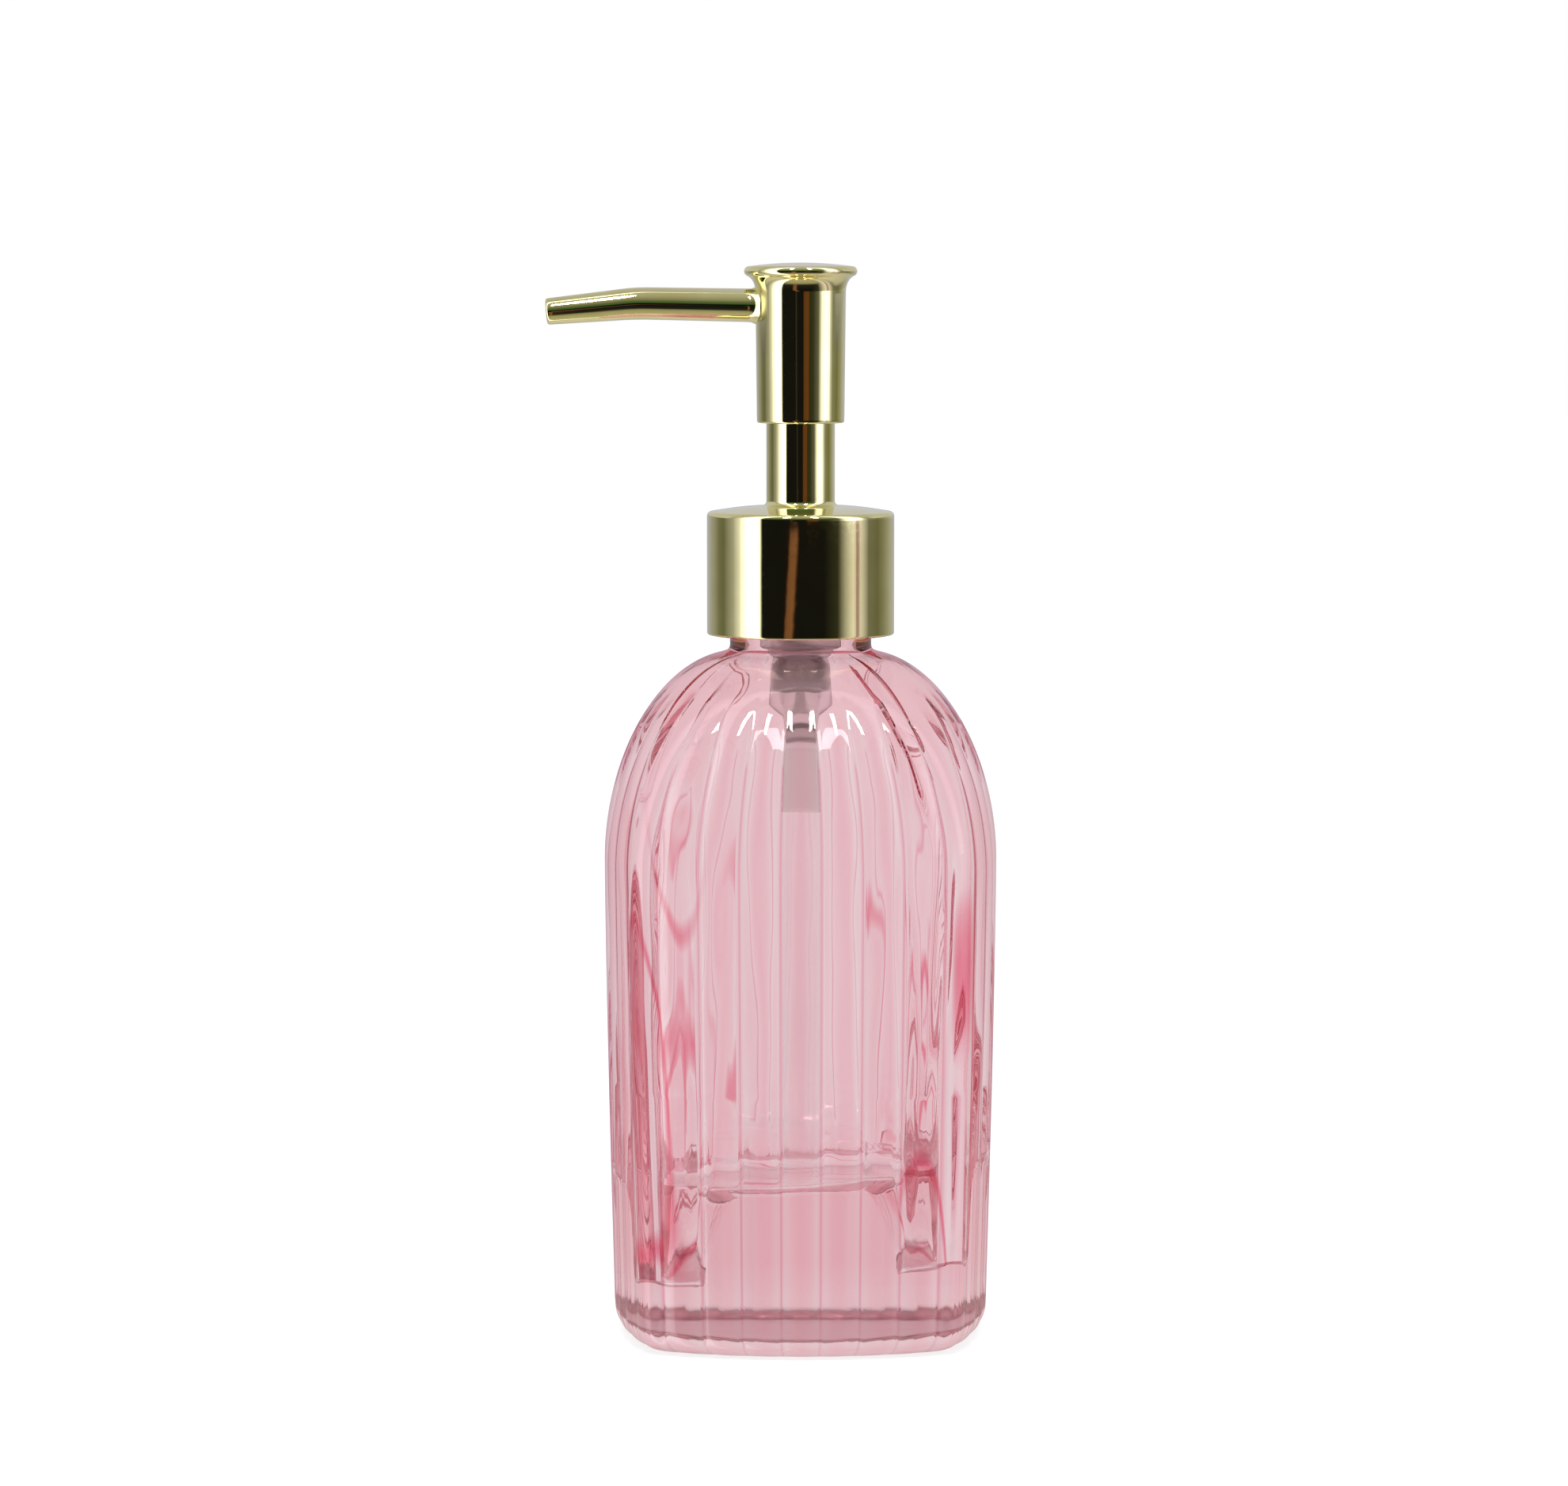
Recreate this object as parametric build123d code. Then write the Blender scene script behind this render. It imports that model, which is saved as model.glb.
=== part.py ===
from build123d import *
from math import atan2, cos, pi, radians, sin, sqrt
import os

# Lotion pump dispenser: ribbed glass bottle, 28/410 pump with telescoping head.
# Millimetres, +Z up. Origin: centre of the foot. The spout points to -X.

# ---- bottle: a square with crowned sides and round corners ----
FOOT_HALF = 34.0            # axis to side, at the top of the heel
SHOULDER_HALF = 35.65       # axis to side, where the dome starts
HEEL_R = 5.0
SHOULDER_Z = 86.0
DOME_TOP_Z = 123.7
CROWN_R = 78.0              # plan radius of each side
CORNER_R = 7.5              # plan radius of each corner
DOME_POWER = 1.92           # 2 is an ellipse
DOME_END_HALF = 12.0
DOME_ANGLES = (15, 30, 45, 60, 72, 82)
NECK_END_CROWN = 1.03       # plan radii where the dome meets the neck, as shares of its half width
NECK_END_CORNER = 0.93
NECK_R = 12.8
NECK_FILLET = 0.9
RIM_Z = 142.0
BORE_R = 10.0
WALL = 4.6
FLOOR_Z = 22.0
FLOOR_R = 9.0
RIBS_PER_SIDE = 7
RIB_PITCH = 7.3
GROOVE_DEPTH = 0.4
GROOVE_HALF_WIDTH = 1.1     # at a height of one depth outside the glass

# ---- 28/410 thread: six turns an inch ----
THREAD_PITCH = 25.4 / 6
THREAD_TURNS = 1.5
THREAD_TIP_R = 13.7
THREAD_START_Z = 132.0
THREAD_BASE = 1.15          # half widths of the ridge
THREAD_CREST = 0.5
THREAD_SINK = 0.25
CAP_THREAD_TIP_R = 13.15
CAP_ROOT_R = 14.05

# ---- collar ----
COLLAR_R = 16.95
COLLAR_WALL = 0.8
COLLAR_BOTTOM_Z = 126.7
COLLAR_EDGE_Z = 149.0
COLLAR_CROWN = 1.1
COLLAR_ROUND = 0.8
RISER_R = 6.2
RISER_WALL = 0.7
RISER_TOP_Z = 168.5
RISER_FILLET = 0.7
CAP_PLATE_BORE_R = 7.0
CAP_PLATE_THICK = 1.5
CAP_CLEARANCE = 0.1

# ---- pump body ----
GASKET_THICK = 1.1
FLANGE_R = 12.2
FLANGE_THICK = 1.5
FLANGE_BOTTOM_Z = RIM_Z + GASKET_THICK
FLANGE_TOP_Z = FLANGE_BOTTOM_Z + FLANGE_THICK
UPPER_BORE_R = 6.4
UPPER_WALL = 0.9
UPPER_END_Z = 125.2
LOWER_R = 5.75
LOWER_BORE_R = 4.9
LOWER_END_Z = 114.4
STEP_Z = 117.8              # shallow step round the lower part
STEP_R = 5.9
SOCKET_R = 3.4
SOCKET_TOP_Z = 110.8
SOCKET_END_Z = 94.7
SOCKET_STOP_Z = 106.0       # where the dip tube stops
SEAT_Z = 107.6              # lower edge of the ball's conical seat
SEAT_R = 1.3
CHAMBER_R = 2.4
CHAMBER_Z = 108.8
CHAMBER_TOP_Z = 111.8
TUBE_R = 2.4
TUBE_BORE_R = 1.7
TUBE_END_Z = 27.6
TUBE_MITRE = 25             # degrees
BALL_R = 2.0
BALL_LIFT_OFF = 0.06        # clearance above the seat
CAGE_Z = 115.6
CAGE_THICK = 0.8
CAGE_SHELF_R = 3.6
CAGE_SHELF_Z = 114.0
PRONG_R = 0.8
PRONG_END_Z = 112.7
FLOW_HOLE_R = 0.8
FLOW_HOLE_PLACE_R = 2.1
SPRING_R = 3.7
SPRING_WIRE_R = 0.38
SPRING_TURNS = 8
SPRING_TOP_Z = 137.9
LOCK_TOWER_R = 5.0
LOCK_TOWER_TOP_Z = 158.0
LOCK_DISC_R = 11.9
LOCK_DISC_THICK = 1.5

# ---- moving parts, drawn with the head up ----
STROKE = 13.5
GAP = 0.3
PISTON_BOTTOM_Z = 139.0
PISTON_TOP_Z = 144.0
PISTON_LIP = 0.8
PISTON_WAIST = 1.4          # lip radius less hub radius
STEM_R = 3.8
STEM_BORE_R = 2.2
STEM_BOTTOM_Z = 144.4
STEM_TOP_Z = 183.0
ROD_DISC_R = 4.4
ROD_PILOT_R = 2.8
ROD_PILOT = 2.0
ROD_TOP_Z = 151.0
ROD_BORE_R = 1.2
ROD_BORE_END_Z = 140.6
CROSS_HOLE_R = 0.7
CROSS_HOLE_Z = 141.5

# ---- head ----
HEAD_BOTTOM_Z = 164.9
HEAD_BOTTOM_R = 7.9
HEAD_TOP_R = 8.15
HEAD_WALL = 0.8
FLARE_Z = 188.4
LIP_Z = 192.1
LIP_R = 10.2
LIP_ROUND = 0.6
HEAD_TOP_Z = 193.7
CORE_TOP_Z = 190.0
CORE_SOCKET_Z = 172.0       # lower end of the stem's socket
WEB_Z = RISER_TOP_Z + STROKE + 0.4   # underside of the core's web
SPOUT_Z = 186.0
SPOUT_KINK = (-29.6, 186.4)
SPOUT_TIP = (-45.8, 184.9)
SPOUT_ROOT_X = -7.3
SPOUT_ROOT_R = 3.03
SPOUT_KINK_R = 2.9
SPOUT_TIP_R = 2.375
SPOUT_BORE_R = 1.9
LINER_BORE_R = 1.3
LINER_ROOT_X = -3.0


def turned(*corners):
    """Solid of revolution about Z from its (radius, height) corners."""
    outline = Polyline(*[(r, 0, z) for r, z in corners], close=True)
    return revolve(make_face(outline), Axis.Z)


def tube(outer_r, inner_r, low_z, high_z):
    """Plain ring about Z."""
    return turned((inner_r, low_z), (outer_r, low_z), (outer_r, high_z), (inner_r, high_z))


def rod(radius, low_z, high_z):
    """Plain cylinder about Z."""
    return turned((0, low_z), (radius, low_z), (radius, high_z), (0, high_z))


def crowned_square(half, crown_r, corner_r, z):
    """Face at height z: four crowned sides and four tangent corners."""
    reach = crown_r - half
    corner_gap = crown_r - corner_r
    corner = (sqrt(2 * corner_gap**2 - reach**2) - reach) / 2
    turn = atan2(corner, corner + reach)
    edges = []
    for quarter in range(4):
        spin = quarter * pi / 2

        def at(x, y, spin=spin):
            return (x * cos(spin) - y * sin(spin), x * sin(spin) + y * cos(spin), z)

        end_x = crown_r * sin(turn)
        end_y = crown_r * cos(turn) - reach
        bulge = corner + corner_r / sqrt(2)
        edges.append(ThreePointArc(at(end_x, end_y), at(0, half), at(-end_x, end_y)))
        edges.append(ThreePointArc(at(-end_x, end_y), at(-bulge, bulge), at(-end_y, end_x)))
    return Face(Wire(edges))


def side_section(half, z):
    """Section of the straight part of the bottle, for a side at this distance."""
    inset = SHOULDER_HALF - half
    return crowned_square(half, CROWN_R - inset, max(CORNER_R - inset, CORNER_R / 3), z)


def dome_section(half, end_half, shoulder_half, z):
    """Section of the dome: it goes from the crowned square to nearly round at the neck."""
    round_part = (shoulder_half - half) / (shoulder_half - end_half)
    crown_r = half * (CROWN_R / SHOULDER_HALF * (1 - round_part) + NECK_END_CROWN * round_part)
    corner_r = half * (CORNER_R / SHOULDER_HALF * (1 - round_part) + NECK_END_CORNER * round_part)
    return crowned_square(half, crown_r, corner_r, z)


def rounded_end(half, low_z, radius):
    """Heel of the bottle, or the rounded floor of its cavity."""
    sections = []
    for angle in (0, 30, 60, 90):
        inset = radius * (1 - sin(radians(angle)))
        rise = radius * (1 - cos(radians(angle)))
        sections.append(side_section(half - inset, low_z + rise))
    return loft(sections)


def tapered_side(low_half, high_half, low_z, high_z):
    """The straight side, a little wider at the shoulder."""
    middle = low_half + 0.62 * (high_half - low_half)
    heights = (low_z, (low_z + high_z) / 2, high_z)
    return loft([side_section(h, z) for h, z in zip((low_half, middle, high_half), heights)])


def dome(half, end_half, low_z, high_z):
    """The shoulder, a superelliptic dome from the side up to the neck."""
    sections = [side_section(half, low_z)]
    for angle in DOME_ANGLES:
        across = cos(radians(angle)) ** (2 / DOME_POWER)
        up = sin(radians(angle)) ** (2 / DOME_POWER)
        section_half = end_half + (half - end_half) * across
        sections.append(dome_section(section_half, end_half, half, low_z + (high_z - low_z) * up))
    return loft(sections)


def thread(root_r, tip_r, start_z, turns):
    """Helical ridge from a root radius to a tip radius, outward or inward."""
    sink = THREAD_SINK if tip_r > root_r else -THREAD_SINK
    path = Pos(0, 0, start_z) * Helix(THREAD_PITCH, THREAD_PITCH * turns, root_r)
    plane = Plane(origin=path @ 0, x_dir=(1, 0, 0), z_dir=path % 0)
    height = tip_r - root_r
    ridge = Polyline(
        (-sink, -THREAD_BASE),
        (height, -THREAD_CREST),
        (height, THREAD_CREST),
        (-sink, THREAD_BASE),
        close=True,
    )
    return sweep(plane * make_face(ridge), path=path, is_frenet=True)


def grooves():
    """V-cutters between the ribs, leaning with the taper of the sides."""
    lean = (SHOULDER_HALF - FOOT_HALF) / (SHOULDER_Z - HEEL_R)
    cutters = []
    for side in range(4):
        for index in range(RIBS_PER_SIDE + 1):
            across = (index - RIBS_PER_SIDE / 2) * RIB_PITCH
            out = sqrt(CROWN_R**2 - across**2) - CROWN_R + SHOULDER_HALF
            foot_out = out - lean * SHOULDER_Z
            slope = -across / CROWN_R

            def wedge(y, z, across=across, slope=slope):
                return Face(Wire(Polyline(
                    (across, y - GROOVE_DEPTH, z),
                    (across + GROOVE_HALF_WIDTH, y + GROOVE_DEPTH + slope * GROOVE_HALF_WIDTH, z),
                    (across - GROOVE_HALF_WIDTH, y + GROOVE_DEPTH - slope * GROOVE_HALF_WIDTH, z),
                    close=True,
                ).edges()))

            cutter = loft([wedge(foot_out, 0), wedge(out, SHOULDER_Z)])
            cutters.append(Rot(0, 0, 90 * side) * cutter)
    return cutters


def bottle():
    outside = rounded_end(FOOT_HALF, 0, HEEL_R)
    outside += tapered_side(FOOT_HALF, SHOULDER_HALF, HEEL_R, SHOULDER_Z)
    outside += dome(SHOULDER_HALF, DOME_END_HALF, SHOULDER_Z, DOME_TOP_Z)
    outside -= grooves()
    neck_start_z = DOME_TOP_Z - 4
    outside += turned(
        (0, neck_start_z),
        (NECK_R + NECK_FILLET, neck_start_z),
        (NECK_R + NECK_FILLET, DOME_TOP_Z - 0.2),
        (NECK_R, DOME_TOP_Z + NECK_FILLET),
        (NECK_R, RIM_Z),
        (0, RIM_Z),
    )
    inner_foot = FOOT_HALF - WALL
    inner_shoulder = SHOULDER_HALF - WALL
    inner_top_z = DOME_TOP_Z - WALL
    cavity = rounded_end(inner_foot, FLOOR_Z, FLOOR_R)
    cavity += tapered_side(inner_foot, inner_shoulder, FLOOR_Z + FLOOR_R, SHOULDER_Z)
    cavity += dome(inner_shoulder, BORE_R - 1, SHOULDER_Z, inner_top_z)
    cavity += rod(BORE_R, inner_top_z - 2, RIM_Z)
    glass = outside - cavity
    return glass + thread(NECK_R, THREAD_TIP_R, THREAD_START_Z, THREAD_TURNS)


def neck_gasket():
    return tube(NECK_R - 0.2, UPPER_BORE_R + UPPER_WALL + 0.2, RIM_Z + 0.05, RIM_Z + GASKET_THICK)


def pump_housing():
    """Stepped cylinder: wide for the piston, narrow for the spring, socket for the tube."""
    upper_r = UPPER_BORE_R + UPPER_WALL
    return turned(
        (UPPER_BORE_R, FLANGE_TOP_Z),
        (FLANGE_R, FLANGE_TOP_Z),
        (FLANGE_R, FLANGE_BOTTOM_Z),
        (upper_r, FLANGE_BOTTOM_Z),
        (upper_r, UPPER_END_Z),
        (STEP_R, UPPER_END_Z - 0.8),
        (STEP_R, STEP_Z),
        (LOWER_R, STEP_Z - 0.3),
        (LOWER_R, LOWER_END_Z),
        (SOCKET_R, SOCKET_TOP_Z),
        (SOCKET_R, SOCKET_END_Z),
        (TUBE_R, SOCKET_END_Z),
        (TUBE_R, SOCKET_STOP_Z),
        (SEAT_R, SOCKET_STOP_Z),
        (SEAT_R, SEAT_Z),
        (CHAMBER_R, CHAMBER_Z),
        (CHAMBER_R, CHAMBER_TOP_Z),
        (CAGE_SHELF_R, CAGE_SHELF_Z),
        (CAGE_SHELF_R, CAGE_Z),
        (LOWER_BORE_R, CAGE_Z),
        (LOWER_BORE_R, UPPER_END_Z - 0.2),
        (UPPER_BORE_R, UPPER_END_Z + 0.2),
    )


def lock_ring():
    """Disc on the housing's flange, with a tower that guides the stem."""
    bore = STEM_R + GAP
    return turned(
        (bore, FLANGE_TOP_Z),
        (LOCK_DISC_R, FLANGE_TOP_Z),
        (LOCK_DISC_R, FLANGE_TOP_Z + LOCK_DISC_THICK),
        (LOCK_TOWER_R, FLANGE_TOP_Z + LOCK_DISC_THICK),
        (LOCK_TOWER_R, LOCK_TOWER_TOP_Z),
        (bore, LOCK_TOWER_TOP_Z),
    )


def ball_cage():
    """Spring seat across the bore, with a prong that stops the ball and four flow holes."""
    cage = rod(LOWER_BORE_R, CAGE_Z, CAGE_Z + CAGE_THICK)
    cage += rod(PRONG_R, PRONG_END_Z, CAGE_Z + CAGE_THICK)
    hole = Pos(FLOW_HOLE_PLACE_R, 0, 0) * rod(FLOW_HOLE_R, CAGE_Z - 1, CAGE_Z + 2)
    return cage - [Rot(0, 0, 90 * i) * hole for i in range(4)]


def return_spring():
    low_z = CAGE_Z + CAGE_THICK + SPRING_WIRE_R
    high_z = SPRING_TOP_Z - SPRING_WIRE_R
    pitch = (high_z - low_z) / SPRING_TURNS
    path = Pos(0, 0, low_z) * Helix(pitch, high_z - low_z, SPRING_R)
    plane = Plane(origin=path @ 0, x_dir=(1, 0, 0), z_dir=path % 0)
    return sweep(plane * Circle(SPRING_WIRE_R), path=path, is_frenet=True)


def dip_tube():
    pipe = tube(TUBE_R, TUBE_BORE_R, TUBE_END_Z, SOCKET_STOP_Z - 0.1)
    mitre = Pos(0, 0, TUBE_END_Z) * Rot(0, TUBE_MITRE, 0) * Pos(0, 0, -5) * Box(20, 20, 10)
    return pipe - mitre


def inlet_ball():
    seat_angle = atan2(CHAMBER_R - SEAT_R, CHAMBER_Z - SEAT_Z)
    apex_z = SEAT_Z - SEAT_R * (CHAMBER_Z - SEAT_Z) / (CHAMBER_R - SEAT_R)
    centre_z = apex_z + BALL_R / sin(seat_angle) + BALL_LIFT_OFF
    return Pos(0, 0, centre_z) * Sphere(BALL_R)


def screw_closure():
    """Inner cap: threaded skirt, and a plate that holds the flange on the rim."""
    outer_r = COLLAR_R - COLLAR_WALL - 0.02
    plate_z = FLANGE_TOP_Z + LOCK_DISC_THICK + CAP_CLEARANCE
    cap = turned(
        (CAP_ROOT_R, COLLAR_BOTTOM_Z + 0.5),
        (outer_r, COLLAR_BOTTOM_Z + 0.5),
        (outer_r, plate_z + CAP_PLATE_THICK),
        (CAP_PLATE_BORE_R, plate_z + CAP_PLATE_THICK),
        (CAP_PLATE_BORE_R, plate_z),
        (CAP_ROOT_R, plate_z),
    )
    start_z = THREAD_START_Z - THREAD_PITCH / 2
    return cap + thread(CAP_ROOT_R, CAP_THREAD_TIP_R, start_z, THREAD_TURNS)


def collar_shell():
    """Metallised skin of the closure, with the riser that the head slides over."""
    inner_r = COLLAR_R - COLLAR_WALL
    riser_in = RISER_R - RISER_WALL
    top_z = COLLAR_EDGE_Z + COLLAR_CROWN
    return turned(
        (inner_r, COLLAR_BOTTOM_Z),
        (COLLAR_R - 0.3, COLLAR_BOTTOM_Z),
        (COLLAR_R, COLLAR_BOTTOM_Z + 0.3),
        (COLLAR_R, COLLAR_EDGE_Z - COLLAR_ROUND),
        (COLLAR_R - 0.25, COLLAR_EDGE_Z - 0.25),
        (COLLAR_R - COLLAR_ROUND, COLLAR_EDGE_Z),
        (RISER_R + RISER_FILLET, top_z),
        (RISER_R, top_z + RISER_FILLET),
        (RISER_R, RISER_TOP_Z),
        (riser_in, RISER_TOP_Z),
        (riser_in, COLLAR_EDGE_Z - COLLAR_WALL),
        (inner_r, COLLAR_EDGE_Z - COLLAR_WALL),
    )


def piston():
    """Two wiping lips on a hub that surrounds the rod."""
    lip_r = UPPER_BORE_R - 0.04
    hub_r = lip_r - PISTON_WAIST
    bore = STEM_BORE_R + GAP
    return turned(
        (bore, PISTON_BOTTOM_Z),
        (lip_r, PISTON_BOTTOM_Z),
        (lip_r, PISTON_BOTTOM_Z + PISTON_LIP),
        (hub_r, PISTON_BOTTOM_Z + 2 * PISTON_LIP),
        (hub_r, PISTON_TOP_Z - 2 * PISTON_LIP),
        (lip_r, PISTON_TOP_Z - PISTON_LIP),
        (lip_r, PISTON_TOP_Z),
        (bore, PISTON_TOP_Z),
    )


def valve_rod():
    """Disc that the spring pushes, a pilot in the spring, and a hollow shank in the stem."""
    disc_top_z = PISTON_BOTTOM_Z - GAP
    pilot_z = SPRING_TOP_Z - ROD_PILOT
    body = turned(
        (0, pilot_z),
        (ROD_PILOT_R, pilot_z),
        (ROD_PILOT_R, SPRING_TOP_Z),
        (ROD_DISC_R, SPRING_TOP_Z),
        (ROD_DISC_R, disc_top_z),
        (STEM_BORE_R, disc_top_z),
        (STEM_BORE_R, ROD_TOP_Z),
        (ROD_BORE_R, ROD_TOP_Z),
        (ROD_BORE_R, ROD_BORE_END_Z),
        (0, ROD_BORE_END_Z),
    )
    cross_hole = Pos(0, 0, CROSS_HOLE_Z) * Rot(0, 90, 0) * Cylinder(CROSS_HOLE_R, 2 * ROD_DISC_R)
    return body - cross_hole


def stem():
    return tube(STEM_R, STEM_BORE_R, STEM_BOTTOM_Z, STEM_TOP_Z)


def head_core():
    """Stem socket, skirt liner and channel block of the head, in one moulding."""
    socket_r = RISER_R - RISER_WALL - GAP
    liner_in = RISER_R + GAP
    liner_out = HEAD_BOTTOM_R - HEAD_WALL
    block_r = HEAD_TOP_R - HEAD_WALL - 0.1
    core = turned(
        (STEM_R, CORE_SOCKET_Z),
        (socket_r, CORE_SOCKET_Z),
        (socket_r, WEB_Z),
        (liner_in, WEB_Z),
        (liner_in, HEAD_BOTTOM_Z + 0.4),
        (liner_out, HEAD_BOTTOM_Z + 0.4),
        (block_r, WEB_Z),
        (block_r, CORE_TOP_Z),
        (0, CORE_TOP_Z),
        (0, STEM_TOP_Z),
        (STEM_R, STEM_TOP_Z),
    )
    riser_channel = rod(STEM_BORE_R, STEM_TOP_Z - 1, SPOUT_Z)
    side_channel = Pos(-5, 0, SPOUT_Z) * Rot(0, 90, 0) * Cylinder(SPOUT_BORE_R, 10)
    return core - riser_channel - side_channel


def head_shell():
    """Metallised head: slightly tapered tube that flares to a round lip, closed on top."""
    inner_bottom = HEAD_BOTTOM_R - HEAD_WALL + 0.02
    inner_top = HEAD_TOP_R - HEAD_WALL + 0.02
    lip_centre_r = LIP_R - LIP_ROUND
    outline = [
        Line((inner_bottom, 0, HEAD_BOTTOM_Z), (HEAD_BOTTOM_R, 0, HEAD_BOTTOM_Z)),
        Line((HEAD_BOTTOM_R, 0, HEAD_BOTTOM_Z), (HEAD_TOP_R, 0, FLARE_Z)),
        ThreePointArc(
            (HEAD_TOP_R, 0, FLARE_Z),
            (HEAD_TOP_R + 0.35, 0, FLARE_Z + 1.8),
            (lip_centre_r, 0, LIP_Z - LIP_ROUND),
        ),
        ThreePointArc(
            (lip_centre_r, 0, LIP_Z - LIP_ROUND),
            (LIP_R, 0, LIP_Z),
            (lip_centre_r, 0, LIP_Z + LIP_ROUND),
        ),
        Line((lip_centre_r, 0, LIP_Z + LIP_ROUND), (0, 0, LIP_Z + LIP_ROUND)),
        Line((0, 0, LIP_Z + LIP_ROUND), (0, 0, CORE_TOP_Z + 0.1)),
        Line((0, 0, CORE_TOP_Z + 0.1), (inner_top, 0, CORE_TOP_Z + 0.1)),
        Line((inner_top, 0, CORE_TOP_Z + 0.1), (inner_bottom, 0, HEAD_BOTTOM_Z)),
    ]
    shell = revolve(make_face(outline), Axis.Z)
    dome_rise = HEAD_TOP_Z - LIP_Z - LIP_ROUND
    dome_r = (lip_centre_r**2 + dome_rise**2) / (2 * dome_rise)
    ball = Pos(0, 0, HEAD_TOP_Z - dome_r) * Sphere(dome_r)
    shell += ball & rod(lip_centre_r, LIP_Z, HEAD_TOP_Z + 1)
    side_hole = Pos(-8, 0, SPOUT_Z) * Rot(0, 90, 0) * Cylinder(SPOUT_ROOT_R + 0.07, 8)
    return shell - side_hole


def spout_run(radii):
    """Solid along the spout's bent centreline, with one radius at each of three stations."""
    root = (SPOUT_ROOT_X, 0, SPOUT_Z)
    kink = (SPOUT_KINK[0], 0, SPOUT_KINK[1])
    tip = (SPOUT_TIP[0], 0, SPOUT_TIP[1])
    kink_tilt = (Vector(*kink) - Vector(*root)).normalized() + (Vector(*tip) - Vector(*kink)).normalized()
    discs = []
    for place, along, radius in (
        (root, (-1, 0, 0), radii[0]),
        (kink, kink_tilt, radii[1]),
        (tip, Vector(*tip) - Vector(*kink), radii[2]),
    ):
        discs.append(Plane(origin=place, x_dir=(0, 1, 0), z_dir=along) * Circle(radius))
    return loft(discs[:2], ruled=True) + loft(discs[1:], ruled=True)


def spout():
    outside = spout_run((SPOUT_ROOT_R, SPOUT_KINK_R, SPOUT_TIP_R))
    return outside - spout_run((SPOUT_BORE_R, SPOUT_BORE_R, SPOUT_BORE_R - 0.15))


def spout_liner():
    outside = spout_run((SPOUT_BORE_R, SPOUT_BORE_R, SPOUT_BORE_R - 0.15))
    plug = Pos(LINER_ROOT_X / 2 + SPOUT_ROOT_X / 2, 0, SPOUT_Z) * Rot(0, 90, 0)
    outside += plug * Cylinder(SPOUT_BORE_R, LINER_ROOT_X - SPOUT_ROOT_X)
    bore = spout_run((LINER_BORE_R, LINER_BORE_R, LINER_BORE_R))
    bore += plug * Cylinder(LINER_BORE_R, LINER_ROOT_X - SPOUT_ROOT_X)
    return outside - bore


NODES = {
    "bottle": bottle,
    "neck_gasket": neck_gasket,
    "pump_housing": pump_housing,
    "lock_ring": lock_ring,
    "ball_cage": ball_cage,
    "return_spring": return_spring,
    "dip_tube": dip_tube,
    "inlet_ball": inlet_ball,
    "screw_closure": screw_closure,
    "collar_shell": collar_shell,
    "piston": piston,
    "valve_rod": valve_rod,
    "stem": stem,
    "head_core": head_core,
    "head_shell": head_shell,
    "spout": spout,
    "spout_liner": spout_liner,
}

os.makedirs("parts", exist_ok=True)
for name, make in NODES.items():
    export_step(make(), f"parts/{name}.step")
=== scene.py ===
"""Looks of the lotion pump dispenser: ribbed pink glass, pale gold metallised pump.

Lengths are in millimetres until a mesh is made, then in metres, in the frame of the CAD model.
"""
import math

import bmesh
import bpy
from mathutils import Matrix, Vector, noise


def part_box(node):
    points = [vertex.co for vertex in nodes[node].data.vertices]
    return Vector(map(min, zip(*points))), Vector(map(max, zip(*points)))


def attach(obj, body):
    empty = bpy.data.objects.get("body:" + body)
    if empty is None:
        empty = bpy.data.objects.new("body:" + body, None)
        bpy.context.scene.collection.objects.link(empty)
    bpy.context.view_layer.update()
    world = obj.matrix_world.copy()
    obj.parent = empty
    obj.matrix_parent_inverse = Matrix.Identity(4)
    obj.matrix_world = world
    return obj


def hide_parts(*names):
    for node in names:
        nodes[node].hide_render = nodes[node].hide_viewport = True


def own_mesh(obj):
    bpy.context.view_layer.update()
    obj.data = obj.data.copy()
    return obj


MM = 0.001
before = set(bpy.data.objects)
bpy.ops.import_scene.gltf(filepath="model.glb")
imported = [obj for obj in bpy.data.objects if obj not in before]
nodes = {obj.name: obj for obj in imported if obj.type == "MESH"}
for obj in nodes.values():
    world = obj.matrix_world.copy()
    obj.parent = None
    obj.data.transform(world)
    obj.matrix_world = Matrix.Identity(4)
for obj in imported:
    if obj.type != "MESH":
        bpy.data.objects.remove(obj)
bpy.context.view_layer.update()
scene = bpy.context.scene


def box_mm(node):
    """Lowest and highest corner of a CAD node, in millimetres."""
    low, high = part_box(node)
    return low / MM, high / MM


def clamp(value):
    return max(0, min(1, value))


def ease(share):
    """Smooth step from 0 to 1, for a share that is already between them."""
    return share * share * (3 - 2 * share)


# ---------------------------------------------------------------- mesh helpers


def smooth_by_angle(obj, degrees=35):
    """Smooth shading with sharp edges only where faces meet at more than the angle."""
    mesh = obj.data
    mesh.polygons.foreach_set("use_smooth", [True] * len(mesh.polygons))
    mesh.set_sharp_from_angle(angle=math.radians(degrees))


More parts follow.
